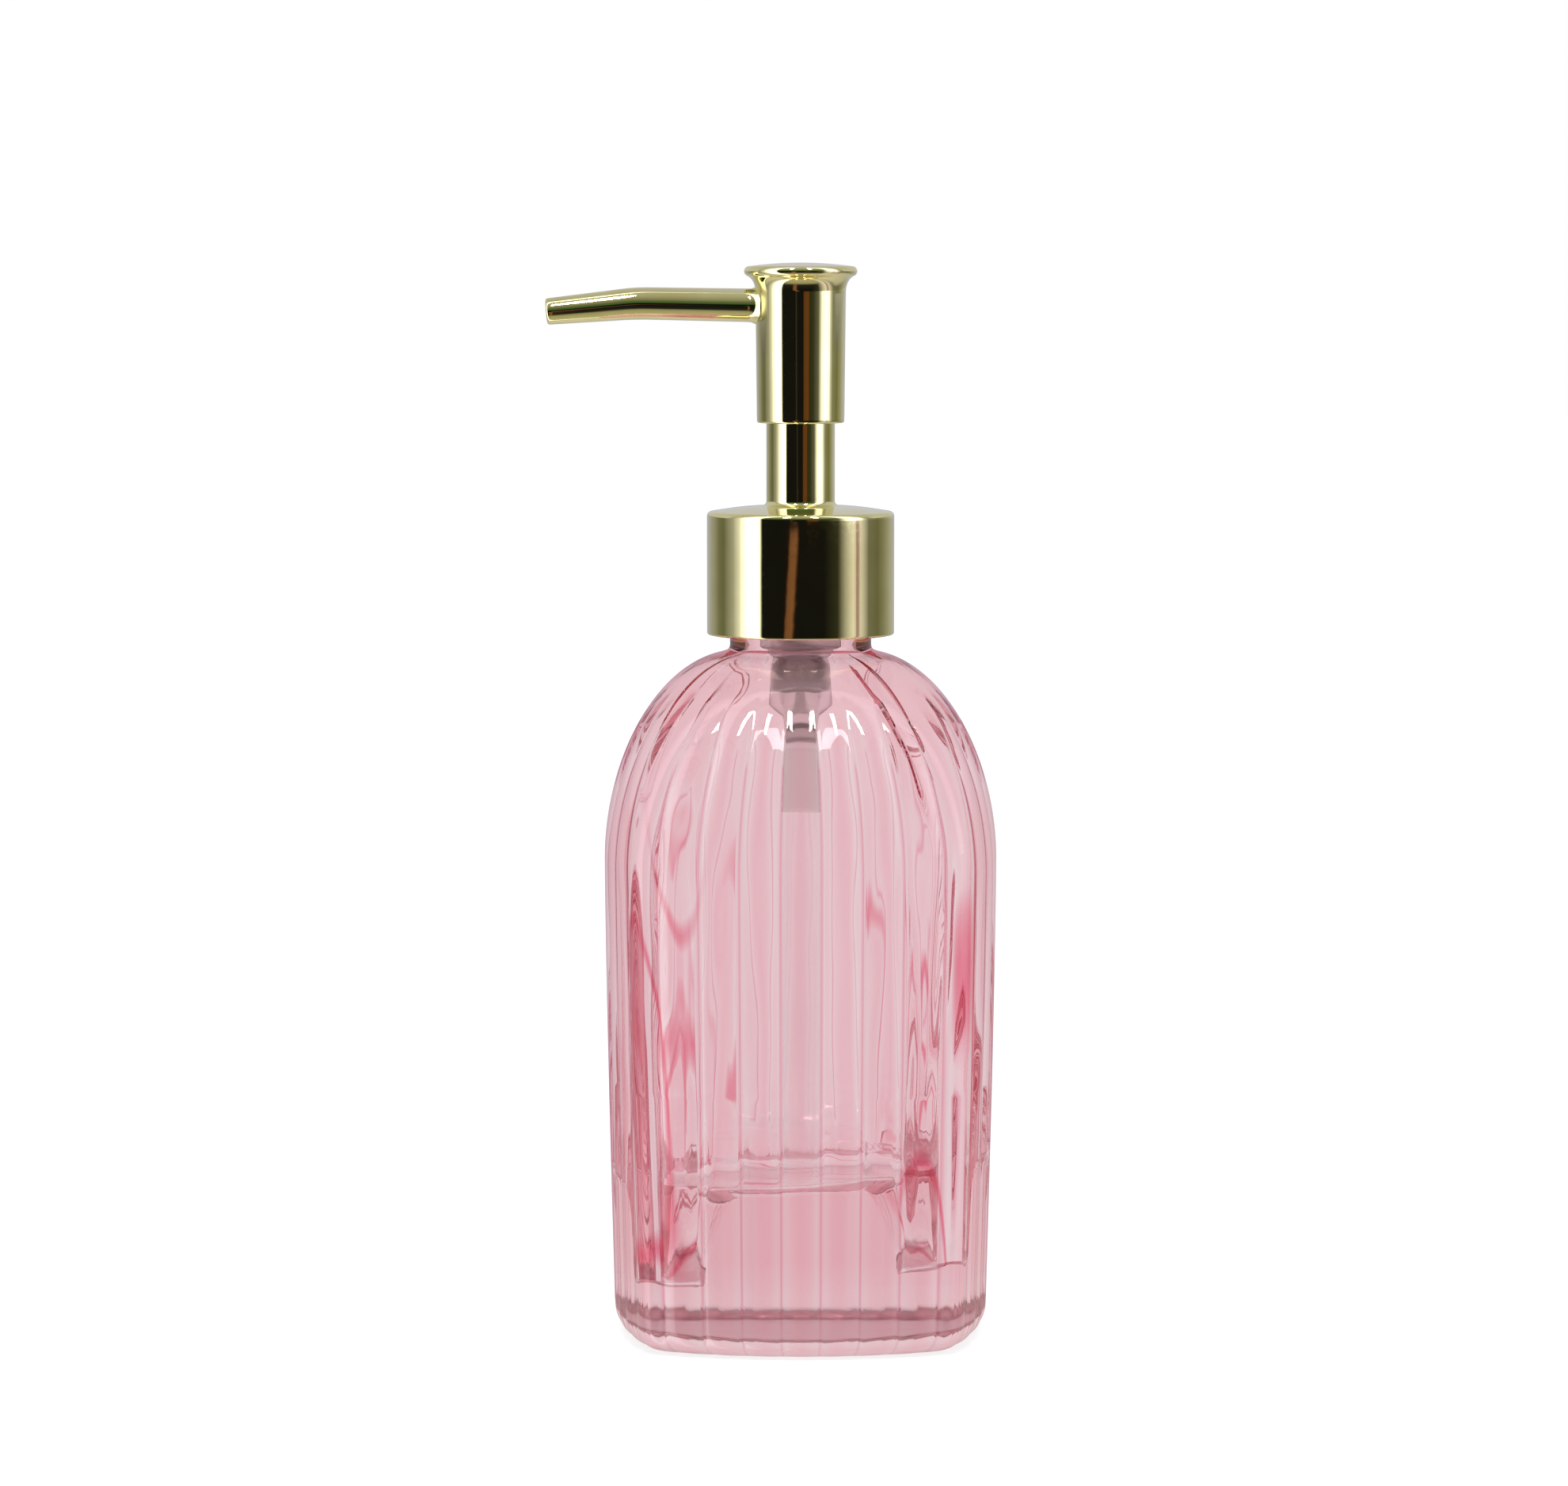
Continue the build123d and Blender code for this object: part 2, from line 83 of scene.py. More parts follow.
def add_mesh(name, verts, faces, degrees=35, marks=None):
    """Object from millimetre vertices, normals made consistent. marks holds numbers per vertex."""
    mesh = bpy.data.meshes.new(name)
    mesh.from_pydata([[c * MM for c in v] for v in verts], [], faces)
    for key, values in (marks or {}).items():
        layer = mesh.attributes.new(key, "FLOAT", "POINT")
        layer.data.foreach_set("value", values)
    obj = bpy.data.objects.new(name, mesh)
    scene.collection.objects.link(obj)
    bm = bmesh.new()
    bm.from_mesh(mesh)
    bmesh.ops.remove_doubles(bm, verts=bm.verts, dist=0.0004 * MM)
    bmesh.ops.recalc_face_normals(bm, faces=bm.faces)
    bm.to_mesh(mesh)
    bm.free()
    smooth_by_angle(obj, degrees)
    return obj


def grid(rows, closed=False):
    """Vertices and faces of stacked rings of equal count, joined end to end or closed by fans."""
    count = len(rows[0])
    verts = [p for row in rows for p in row]
    faces = []
    spans = len(rows) if closed else len(rows) - 1
    for r in range(spans):
        low, high = r * count, (r + 1) % len(rows) * count
        for i in range(count):
            j = (i + 1) % count
            faces.append((low + i, low + j, high + j, high + i))
    for row in () if closed else (0, len(rows) - 1):
        centre = sum((Vector(p) for p in rows[row]), Vector()) / count
        verts.append(tuple(centre))
        hub = len(verts) - 1
        for i in range(count):
            faces.append((row * count + i, row * count + (i + 1) % count, hub))
    return verts, faces


def arc(centre, radius, start, end, steps=8):
    """Points (radius, height) on an arc, angles in degrees from the outward direction."""
    points = []
    for i in range(steps + 1):
        a = math.radians(start + (end - start) * i / steps)
        points.append((centre[0] + radius * math.cos(a), centre[1] + radius * math.sin(a)))
    return points


def held(profile):
    """Profile with points near the ends of its long runs, so smooth shading stays flat there."""
    long_run, inset = 1.5, 0.25
    points = [profile[0]]
    for start, end in zip(profile, profile[1:]):
        length = math.dist(start, end)
        if length > long_run:
            for share in (inset / length, 1 - inset / length):
                points.append(tuple(a + (b - a) * share for a, b in zip(start, end)))
        points.append(end)
    return points


def turned(name, profile, segments=160, degrees=35):
    """Closed solid of revolution from a closed loop of (radius, height) points."""
    rows = []
    for r, z in held(profile):
        ring = []
        for i in range(segments):
            a = 2 * math.pi * i / segments
            ring.append((r * math.cos(a), r * math.sin(a), z))
        rows.append(ring)
    verts, faces = grid(rows, closed=True)
    return add_mesh(name, verts, faces, degrees)


def swept(name, stations, segments=64, degrees=35):
    """Closed loop of rings along a bent line: each station is (centre, direction, radius)."""
    rows = []
    for centre, along, radius in stations:
        along = Vector(along).normalized()
        side = Vector((0, 1, 0))
        up = along.cross(side).normalized()
        ring = []
        for i in range(segments):
            a = 2 * math.pi * i / segments
            ring.append(tuple(Vector(centre) + radius * (math.cos(a) * side + math.sin(a) * up)))
        rows.append(ring)
    verts, faces = grid(rows, closed=True)
    return add_mesh(name, verts, faces, degrees)


# ---------------------------------------------------------------- materials


def new_material(name):
    """Empty node material and its output node."""
    material = bpy.data.materials.new(name)
    material.use_nodes = True
    tree = material.node_tree
    tree.nodes.clear()
    return material, tree, tree.nodes.new("ShaderNodeOutputMaterial")


def node(tree, kind, inputs=None, **settings):
    """Adds a node; inputs maps a socket to a value or to another socket."""
    made = tree.nodes.new("ShaderNode" + kind)
    for key, value in settings.items():
        setattr(made, key, value)
    for key, value in (inputs or {}).items():
        if isinstance(value, bpy.types.NodeSocket):
            tree.links.new(value, made.inputs[key])
        else:
            made.inputs[key].default_value = value
    return made


def object_noise(tree, scale, stretch=(1, 1, 1), detail=3.0):
    """Noise fixed to the object, stretched along its axes."""
    place = node(tree, "TexCoord")
    mapping = node(tree, "Mapping", {"Vector": place.outputs["Object"], "Scale": stretch})
    inputs = {"Vector": mapping.outputs["Vector"], "Scale": scale, "Detail": detail}
    return node(tree, "TexNoise", {**inputs, "Roughness": 0.5}).outputs["Fac"]


def attribute(tree, name):
    """Number that the mesh carries at each vertex."""
    return node(tree, "Attribute", attribute_name=name).outputs["Fac"]


def maths(tree, operation, first, second):
    return node(tree, "Math", {0: first, 1: second}, operation=operation).outputs[0]


def mix(tree, factor, first, second, blend="MIX"):
    """Mixes two colours, given as sockets or as four numbers."""
    inputs = {"Factor": factor, "A": first, "B": second}
    return node(tree, "Mix", inputs, data_type="RGBA", blend_type=blend).outputs["Result"]


def span(tree, value, low, high, top=1.0):
    """Maps low...high to 0...top, held at both ends."""
    inputs = {"Value": value, "From Min": low, "From Max": high, "To Max": top}
    return node(tree, "MapRange", inputs).outputs[0]


def shade(tree, out, kind, inputs):
    """Adds the shader and joins it to the material's surface."""
    shader = node(tree, kind, inputs)
    tree.links.new(shader.outputs[0], out.inputs["Surface"])


def bumps(tree, height, strength, distance):
    """Normal of a surface with small bumps, distance in metres."""
    inputs = {"Height": height, "Strength": strength, "Distance": distance}
    return node(tree, "Bump", inputs).outputs["Normal"]


def ramp(tree, fac, stops):
    """Colour ramp with (position, colour) stops."""
    made = node(tree, "ValToRGB", {"Fac": fac})
    elements = made.color_ramp.elements
    while len(elements) < len(stops):
        elements.new(0.5)
    for element, (position, colour) in zip(elements, stops):
        element.position = position
        element.color = (*colour, 1)
    return made.outputs["Color"]


def grey(value):
    return (value, value, value)


def gold_material():
    """Vacuum-metallised plastic: mirror with faint orange peel and patches of haze."""
    material, tree, out = new_material("gold")
    tone = object_noise(tree, 180, detail=2)
    colour = ramp(tree, tone, [(0.3, (0.80, 0.735, 0.40)), (0.7, (0.86, 0.80, 0.46))])
    peel = bumps(tree, object_noise(tree, 260, detail=1), 0.012, 0.0005)
    haze = ramp(tree, object_noise(tree, 900), [(0.45, grey(0.035)), (0.75, grey(0.075))])
    looks = {"Base Color": colour, "Metallic": 1.0, "Roughness": haze, "Normal": peel}
    shade(tree, out, "BsdfPrincipled", looks)
    return material


def glass_material():
    """Clear glass, faintly pink in its depth, with a pink lacquer on the outside.

    The mesh carries four marks: coat on the lacquered face, rib for the place across each rib,
    which the lacquer's colour turns into painted rib shading, frost on the stippled foot, and a
    mark for painted red streaks near the corners of the inside, standing in for light bent there.
    """
    material, tree, out = new_material("pink_glass")
    # The lacquer is pink. Across each rib it also carries painted shading: pinker middles, pale
    # bands near the grooves and dark red grooves stand in for light bent by the ribs.
    painted_rib_shade = [
        (0.0, (0.955, 0.745, 0.785)),
        (0.45, (0.96, 0.785, 0.81)),
        (0.78, (0.955, 0.865, 0.88)),
        (0.90, (0.95, 0.85, 0.865)),
        (0.955, (0.93, 0.70, 0.75)),
        (1.0, (0.90, 0.55, 0.62)),
    ]
    lacquer_and_rib_shade = ramp(tree, attribute(tree, "rib"), painted_rib_shade)
    flow = object_noise(tree, 45, stretch=(1, 1, 0.15), detail=2)
    uneven = mix(tree, flow, (0.97, 0.93, 0.94, 1), (1.03, 1.05, 1.05, 1))
    lacquer_and_rib_shade = mix(tree, 1.0, lacquer_and_rib_shade, uneven, "MULTIPLY")
    # Painted red streaks on the inside near the corners, standing in for light bent and reflected
    # in the thick glass there.
    painted_streak_noise = object_noise(tree, 42, stretch=(1, 1, 0.16), detail=1.5)
    rings = maths(tree, "PINGPONG", maths(tree, "MULTIPLY", painted_streak_noise, 18.0), 1.0)
    streak = ramp(tree, rings, [(0.0, grey(1.0)), (0.07, grey(0.8)), (0.20, grey(0.0))])
    streak = maths(tree, "MULTIPLY", streak, attribute(tree, "painted_red_streak"))
    inside = mix(tree, streak, (1, 1, 1, 1), (0.93, 0.36, 0.47, 1))
    ripple = object_noise(tree, 60, stretch=(1, 1, 0.2), detail=2)
    looks = {
        "Color": mix(tree, attribute(tree, "coat"), inside, lacquer_and_rib_shade),
        "Roughness": maths(tree, "MULTIPLY", attribute(tree, "frost"), 0.42),
        "IOR": 1.5,
        "Normal": bumps(tree, ripple, 0.06, 0.001),
    }
    shade(tree, out, "BsdfGlass", looks)
    volume = node(tree, "VolumeAbsorption", {"Color": (0.90, 0.66, 0.70, 1), "Density": 10.0})
    tree.links.new(volume.outputs["Volume"], out.inputs["Volume"])
    return material


def plastic_material(name, light, dark, roughness, subsurface=0.0, transmission=0.0, ior=1.49):
    """Moulded plastic with faint flow marks and a fine matt grain."""
    material, tree, out = new_material(name)
    flow = object_noise(tree, 90, stretch=(1, 1, 0.3))
    shine = [(0.3, grey(roughness * 0.85)), (0.7, grey(roughness * 1.15))]
    looks = {
        "Base Color": ramp(tree, flow, [(0.3, dark), (0.7, light)]),
        "Roughness": ramp(tree, object_noise(tree, 300), shine),
        "IOR": ior,
        "Subsurface Weight": subsurface,
        "Subsurface Radius": (0.004, 0.004, 0.004),
        "Subsurface Scale": 1.0,
        "Transmission Weight": transmission,
        "Normal": bumps(tree, object_noise(tree, 2500, detail=1), 0.06, 0.0002),
    }
    shade(tree, out, "BsdfPrincipled", looks)
    return material


def steel_material(name, roughness):
    """Drawn or polished stainless steel, with fine scratches."""
    material, tree, out = new_material(name)
    lines = object_noise(tree, 1800, stretch=(1, 1, 0.2))
    looks = {
        "Base Color": ramp(tree, lines, [(0.3, grey(0.55)), (0.7, grey(0.68))]),
        "Metallic": 1.0,
        "Roughness": roughness,
        "Normal": bumps(tree, lines, 0.05, 0.0001),
    }
    shade(tree, out, "BsdfPrincipled", looks)
    return material


WHITE = (1.0, 1.0, 1.0)
GOLD = gold_material()
GLASS = glass_material()
HOUSING = plastic_material(
    "housing_plastic", (1.0, 0.99, 0.98), (0.97, 0.96, 0.95), 0.42, transmission=0.9, ior=1.12
)
INNER = plastic_material(
    "inner_plastic", (0.95, 0.95, 0.93), (0.90, 0.90, 0.88), 0.4, 0.2, transmission=0.55, ior=1.2
)
PISTON = plastic_material(
    "piston_plastic", (0.90, 0.93, 0.96), (0.85, 0.88, 0.92), 0.42, 0.2, transmission=0.5, ior=1.2
)
TUBE = plastic_material("tube_plastic", WHITE, grey(0.97), 0.2, transmission=1.0, ior=1.12)
FOAM = plastic_material("foam", (0.90, 0.90, 0.88), (0.82, 0.82, 0.80), 0.85)
WIRE = steel_material("spring_steel", 0.24)
BALL = steel_material("ball_steel", 0.08)


def dress(obj, material, body, slot, *replaced):
    """Gives a piece its material and its body, and hides the CAD nodes it stands for. slot is not
    used.
    """
    obj.data.materials.clear()
    obj.data.materials.append(material)
    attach(obj, body)
    if replaced:
        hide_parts(*replaced)
    return obj


def redress(name, material):
    """New material for a CAD node that keeps its own shape."""
    mesh = nodes[name].data
    if not mesh.materials:
        mesh.materials.append(material)
    for i in range(len(mesh.materials)):
        mesh.materials[i] = material


# ---------------------------------------------------------------- the bottle

SHOULDER_HALF = 35.6        # axis to side, where the dome starts
FOOT_HALF = 34.0            # axis to side, at the top of the heel
HEEL_R = 6.2
HEEL_POWER = 2.5            # 2 is a quarter circle
FOOT_RECESS = 1.1
SHOULDER_Z = 86.0
DOME_TOP_Z = 123.7
CROWN_R = 78.0              # plan radius of each side
CORNER_R = 7.5              # plan radius of each corner
DOME_POWER = 1.92           # 2 is an ellipse
DOME_END_HALF = 12.0
NECK_END_CROWN = 1.03       # plan radii where the dome meets the neck, as shares of its half width
NECK_END_CORNER = 0.93
NECK_R = 12.8
NECK_FILLET = 1.3
RIM_Z = box_mm("bottle")[1].z
RIM_ROUND = 0.9
BORE_R = 10.0
WALL = 4.6
RIBS_PER_SIDE = 7
RIB_PITCH = 7.3
RIB_SAMPLES = 10
RIB_RELIEF = 0.55
RIB_FAN = math.radians(39.4)    # half angle that a side's ribs take up where the plan is round
RIB_FADE_START = 30             # degrees up the dome
RIB_FADE_SPAN = 32
PAINTED_RIB_SHADE_END_Z = 105.0         # painted rib shading fades above this
PAINTED_RIB_SHADE_FADE = 14.0
PAINTED_RIB_SHADE_MEAN = 0.35           # rib place whose colour, painted shade included, stands for all
PAINTED_RIB_SHADE_BACK = 0.4            # strength of the painted rib shading at the back of the thick base
THREAD_PITCH = 25.4 / 6
THREAD_HEIGHT = 0.9
THREAD_BASE = 1.15              # half width of the ridge
THREAD_FLANK = 0.65
THREAD_START_Z = 132.0
THREAD_TURNS = 1.5
FLOOR_Z = 29.4
FLOOR_R = 2.2                   # how far the floor curls up into the wall at the front
FLOOR_REACH = 14.0              # how far in from the wall the curl starts
BACK_RISE = 9.0                 # how much further it curls up at the back
FLOOR_SAG = 2.6
FLOOR_TILT = 2.3
FLOOR_BUMP = 0.35
CORNER_DROP = 17.0
CORNER_HALF_ANGLE = math.radians(15.5)
CORNER_EDGE_ANGLE = math.radians(5)
FOOT_LACQUER = 0.5              # how much lacquer the foot has, against the sides
INNER_CORNER_R = 10.0
# How far from each corner and how high the painted red streaks on the inside reach.
PAINTED_STREAK_HALF_ANGLE = math.radians(19)
PAINTED_STREAK_END_Z = SHOULDER_Z + 14


def crowned_square(half, crown_r, corner_r, roundness):
    """Ring of (x, y, normal angle, place in rib) around a crowned square.

    Each side has its ribs, and one more goes round each corner. Place runs from -1 to 1.
    """
    reach = crown_r - half
    gap = crown_r - corner_r
    corner = (math.sqrt(2 * gap**2 - reach**2) - reach) / 2
    turn = math.atan2(corner, corner + reach)
    round_step = math.sin(RIB_FAN) / (RIBS_PER_SIDE / 2)
    step = (1 - roundness) * RIB_PITCH / SHOULDER_HALF + roundness * round_step
    ring = []
    for side in range(4):
        spin = -side * math.pi / 2
        steps_out = [i - RIBS_PER_SIDE / 2 for i in range(RIBS_PER_SIDE + 1)]
        edges = [math.asin(steps * step * half / crown_r) for steps in steps_out]
        edges.append(math.pi / 2 - edges[-1])
        for rib in range(RIBS_PER_SIDE + 1):
            for sample in range(RIB_SAMPLES):
                share = sample / RIB_SAMPLES
                a = edges[rib] + (edges[rib + 1] - edges[rib]) * share
                if a <= turn:
                    x, y = crown_r * math.sin(a), crown_r * math.cos(a) - reach
                elif a < math.pi / 2 - turn:
                    x, y = corner + corner_r * math.sin(a), corner + corner_r * math.cos(a)
                else:
                    x, y = crown_r * math.sin(a) - reach, crown_r * math.cos(a)
                c, s = math.cos(spin), math.sin(spin)
                ring.append((x * c - y * s, x * s + y * c, math.pi / 2 - a + spin, 2 * share - 1))
    return ring


def ring_at(half, z, relief=0.0, roundness=0.0, circle=0.0, swell=None, corner_r=CORNER_R):
    """One ring of the bottle: crowned square scaled to half, ribbed, blended towards a circle."""
    scale = half / SHOULDER_HALF
    crown = half * (CROWN_R / SHOULDER_HALF * (1 - roundness) + NECK_END_CROWN * roundness)
    corner = half * (corner_r / SHOULDER_HALF * (1 - roundness) + NECK_END_CORNER * roundness)
    ring = []
    for x, y, angle, place in crowned_square(half, crown, corner, roundness):
        out_x, out_y = math.cos(angle), math.sin(angle)
        x = (1 - circle) * x + circle * half * out_x
        y = (1 - circle) * y + circle * half * out_y
        push = -relief * place**2 * min(1, scale * 1.2)
        if swell:
            push += swell(x, y, z, angle)
        ring.append((x + push * out_x, y + push * out_y, z))
    return ring


def side_half(z, low_half, high_half, low_z):
    """Distance from axis to side on the straight part, a little wider at the shoulder."""
    share = (z - low_z) / (SHOULDER_Z - low_z)
    return low_half + (high_half - low_half) * (1 - (1 - share) ** 1.4)


def dome_rows(half, end_half, top_z, relief, swell=None, steps=56, last=83, corner_r=CORNER_R):
    """Rings of the shoulder, from its foot towards the neck. The ribs fade out on the way."""
    rows = []
    for i in range(1, steps + 1):
        a = math.radians(last * i / steps)
        across = math.cos(a) ** (2 / DOME_POWER)
        up = math.sin(a) ** (2 / DOME_POWER)
        ring_half = end_half + (half - end_half) * across
        ribbed = ease(1 - clamp((math.degrees(a) - RIB_FADE_START) / RIB_FADE_SPAN))
        z = SHOULDER_Z + (top_z - SHOULDER_Z) * up
        rows.append(ring_at(ring_half, z, relief * ribbed, 1 - across, 0, swell, corner_r))
    return rows


def thread_swell(_x, _y, z, angle):
    """Radial height of the screw thread on the neck."""
    turns_up = (z - THREAD_START_Z) / THREAD_PITCH
    nearest = round(turns_up - (angle / (2 * math.pi)) % 1)
    along = nearest + (angle / (2 * math.pi)) % 1
    away = abs(turns_up - along) * THREAD_PITCH
    ends = clamp(along * 6) * clamp((THREAD_TURNS - along) * 6)
    return THREAD_HEIGHT * ends * ease(clamp((THREAD_BASE - away) / THREAD_FLANK))


def outer_rows():
    """Rings of the outside, from the middle of the foot to the rim."""
    rows = []
    for share in (0.08, 0.25, 0.45, 0.62, 0.78, 0.9, 0.97):
        recess = FOOT_RECESS * (1 - share**4)
        rows.append(ring_at((FOOT_HALF - HEEL_R) * share, recess, corner_r=CORNER_R))
    heel_steps = 18
    for i in range(heel_steps + 1):
        a = math.radians(90 * i / heel_steps)
        rise = HEEL_R * (1 - max(0, math.cos(a)) ** (2 / HEEL_POWER))
        half = FOOT_HALF - HEEL_R * (1 - math.sin(a) ** (2 / HEEL_POWER))
        rows.append(ring_at(half, rise, RIB_RELIEF * (0.25 + 0.75 * math.sin(a))))
    side_steps = 20
    for i in range(1, side_steps + 1):
        z = HEEL_R + (SHOULDER_Z - HEEL_R) * i / side_steps
        rows.append(ring_at(side_half(z, FOOT_HALF, SHOULDER_HALF, HEEL_R), z, RIB_RELIEF))
    rows += dome_rows(SHOULDER_HALF, DOME_END_HALF, DOME_TOP_Z, RIB_RELIEF)
    fillet_z = rows[-1][0][2] + 1.5
    fillet = arc((NECK_R + NECK_FILLET, fillet_z), NECK_FILLET, 232, 180, 5)
    for i, (r, z) in enumerate(fillet):
        rows.append(ring_at(r, z, roundness=1, circle=(i + 1) / len(fillet)))
    z = rows[-1][0][2]
    neck_step = 0.36
    while z < RIM_Z - RIM_ROUND - 0.4:
        z += neck_step
        rows.append(ring_at(NECK_R, z, roundness=1, circle=1, swell=thread_swell))
    for r, z in arc((NECK_R - RIM_ROUND, RIM_Z - RIM_ROUND), RIM_ROUND, 0, 90, 5):
        rows.append(ring_at(r, z, roundness=1, circle=1))
    return rows


def waves(x, y, z, angle):
    """Unevenness of the blown inside: long upright folds, strongest at the corners."""
    corner = abs(math.sin(2 * angle)) ** 1.5
    folds = noise.noise(Vector((x * 0.16, y * 0.16, z * 0.018)))
    fine = noise.noise(Vector((x * 0.42 + 7, y * 0.42, z * 0.05)))
    calm = 1 - clamp((z - SHOULDER_Z + 6) / 22)
    return ((0.3 + 1.3 * corner) * folds + (0.05 + 0.4 * corner) * fine) * calm


def off_corner(x, y):
    """Angle between a place and the nearest corner, seen from the axis."""
    return abs(math.atan2(abs(y), abs(x)) - math.pi / 4)


def painted_streak_mark(x, y, z):
    """Strength of painted red streaks for light bent in thick corners: only near the corners."""
    if z < FLOOR_Z / 4 or z > PAINTED_STREAK_END_Z:
        return 0.0
    corner = max(0, 1 - off_corner(x, y) / PAINTED_STREAK_HALF_ANGLE)
    return min(1, 1.6 * corner) * min(1, (PAINTED_STREAK_END_Z - z) / 30)


def corner_drop(x, y):
    """How far the floor sinks in the four corners, where the glass is thin."""
    corner = clamp((CORNER_HALF_ANGLE - off_corner(x, y)) / CORNER_EDGE_ANGLE)
    out = clamp((math.hypot(x, y) - 22) / 7)
    return CORNER_DROP * ease(corner) * ease(out)


def floor_height(x, y):
    """Floor of the cavity: uneven, higher at +X, lowest in the corners, a dip in the middle."""
    far = math.hypot(x, y)
    tilt = FLOOR_TILT * x / SHOULDER_HALF
    bump = FLOOR_BUMP * noise.noise(Vector((x * 0.11, y * 0.11, 3.0)))
    sag = FLOOR_SAG * (1 - min(1, (far / (FOOT_HALF - WALL)) ** 2))
    return FLOOR_Z + (tilt + bump) * min(1, far / 12) - sag - corner_drop(x, y)


def floor_rise(y):
    """How high the floor curls up into the wall: tight at the front, high at the back."""
    return FLOOR_R + BACK_RISE * ease(clamp((y + 12) / 36))


def funnel_rows(wide_r, wide_z, slope, neck_z):
    """Rings of the narrowing from the dome, which is left at the given slope, to the bore."""
    reach = 0.55 * (wide_r - BORE_R)
    spots = (
        (wide_r, wide_z),
        (wide_r - reach, wide_z + reach * slope),
        (BORE_R, neck_z - 4),
        (BORE_R, neck_z),
    )
    rows = []
    steps = 12
    for i in range(1, steps):
        t = i / steps
        weights = ((1 - t) ** 3, 3 * t * (1 - t) ** 2, 3 * t * t * (1 - t), t**3)
        r = sum(w * spot[0] for w, spot in zip(weights, spots))
        z = sum(w * spot[1] for w, spot in zip(weights, spots))
        share = (r - BORE_R) / (wide_r - BORE_R)
        roundness = 1 - 0.49 * share
        rows.append(ring_at(r, z, 0, roundness, 1 - share, corner_r=INNER_CORNER_R))
    return rows


def inner_rows():
    """Rings of the inside, from the rim down to the middle of the floor."""
    rows = []
    inner_half = SHOULDER_HALF - WALL
    inner_foot = FOOT_HALF - WALL
    inner_top = DOME_TOP_Z - WALL * 0.9
    for r, z in arc((BORE_R + RIM_ROUND, RIM_Z - RIM_ROUND), RIM_ROUND, 90, 180, 5):
        rows.append(ring_at(r, z, roundness=1, circle=1))

    dome = dome_rows(inner_half, BORE_R - 0.5, inner_top, 0.0, waves, 40, 58, INNER_CORNER_R)
    end_r, end_z = max(x for x, y, z in dome[-1]), dome[-1][0][2]
    back_r, back_z = max(x for x, y, z in dome[-2]), dome[-2][0][2]
    slope = (end_z - back_z) / (back_r - end_r)
    neck_z = end_z + 0.62 * (end_r - BORE_R) + 5
    neck_steps = 5
    for i in range(1, neck_steps + 1):
        z = RIM_Z - RIM_ROUND + (neck_z + 1 - RIM_Z + RIM_ROUND) * i / neck_steps
        rows.append(ring_at(BORE_R, z, roundness=1, circle=1))
    rows += reversed(funnel_rows(end_r, end_z, slope, neck_z))
    rows += reversed(dome)

    side_steps = 38
    low_z = FLOOR_Z + FLOOR_R + BACK_RISE + 4
    for i in range(side_steps):
        z = SHOULDER_Z + (low_z - SHOULDER_Z) * i / side_steps
        half = side_half(z, inner_foot, inner_half, low_z)
        rows.append(ring_at(half, z, swell=waves, corner_r=INNER_CORNER_R))

    curl_steps = 16
    for i in range(curl_steps + 1):
        a = math.radians(90 - 90 * i / curl_steps)
        half = inner_foot - FLOOR_REACH * (1 - math.sin(a))
        curl = 1 - math.cos(a)
        ring = ring_at(half, 0, swell=waves, corner_r=INNER_CORNER_R)
        rows.append([(x, y, floor_height(x, y) + floor_rise(y) * curl) for x, y, z in ring])
    last_half = inner_foot - FLOOR_REACH
    for share in (0.93, 0.86, 0.78, 0.7, 0.6, 0.5, 0.4, 0.28, 0.16, 0.06):
        ring = ring_at(last_half * share, 0, corner_r=INNER_CORNER_R)
        rows.append([(x, y, floor_height(x, y)) for x, y, z in ring])
    return rows


def make_bottle():
    """Glass in one closed skin, with the marks that its material reads."""
    outer = outer_rows()
    inner = inner_rows()
    verts, faces = grid(outer + inner)
    places = [abs(place) for *_, place in crowned_square(SHOULDER_HALF, CROWN_R, CORNER_R, 0)]
    inside = [0.0] * (len(verts) - len(outer) * len(places))
    coat, rib, frost = [], [], []
    for row in outer:
        z = row[0][2]
        coat += [FOOT_LACQUER + (1 - FOOT_LACQUER) * clamp((z - 3) / 7)] * len(places)
        frost += [clamp((3.5 - z) / 2.5)] * len(places)
        # Painted rib shading: fades out up the dome and is weaker at the back of the thick base.
        ribbed = 1 - clamp((z - PAINTED_RIB_SHADE_END_Z) / PAINTED_RIB_SHADE_FADE)
        for place, (_, y, _) in zip(places, row):
            shown = ribbed * (PAINTED_RIB_SHADE_BACK if y > 0 and z < FLOOR_Z else 1)
            rib.append(PAINTED_RIB_SHADE_MEAN + (place - PAINTED_RIB_SHADE_MEAN) * shown)
    marks = {
        "coat": coat + inside,
        "rib": rib + inside,
        "frost": frost + inside,
        "painted_red_streak": [painted_streak_mark(*v) for v in verts],
    }
    bottle = add_mesh("glass_bottle", verts, faces, 180, marks)
    dress(bottle, GLASS, "bottle", "pink_glass", "bottle")


make_bottle()

# ---------------------------------------------------------------- gold shells

COLLAR_LOW, COLLAR_HIGH = box_mm("collar_shell")
HEAD_LOW, HEAD_HIGH = box_mm("head_shell")
COLLAR_R = COLLAR_HIGH.x
COLLAR_WALL = 0.8
COLLAR_HEM_R = 0.4          # roll of the lower edge
COLLAR_EDGE_Z = 149.0
COLLAR_ROUND = 0.85
COLLAR_CROWN = 1.1
RISER_R = 6.2
RISER_WALL = 0.7
RISER_FILLET = 0.75


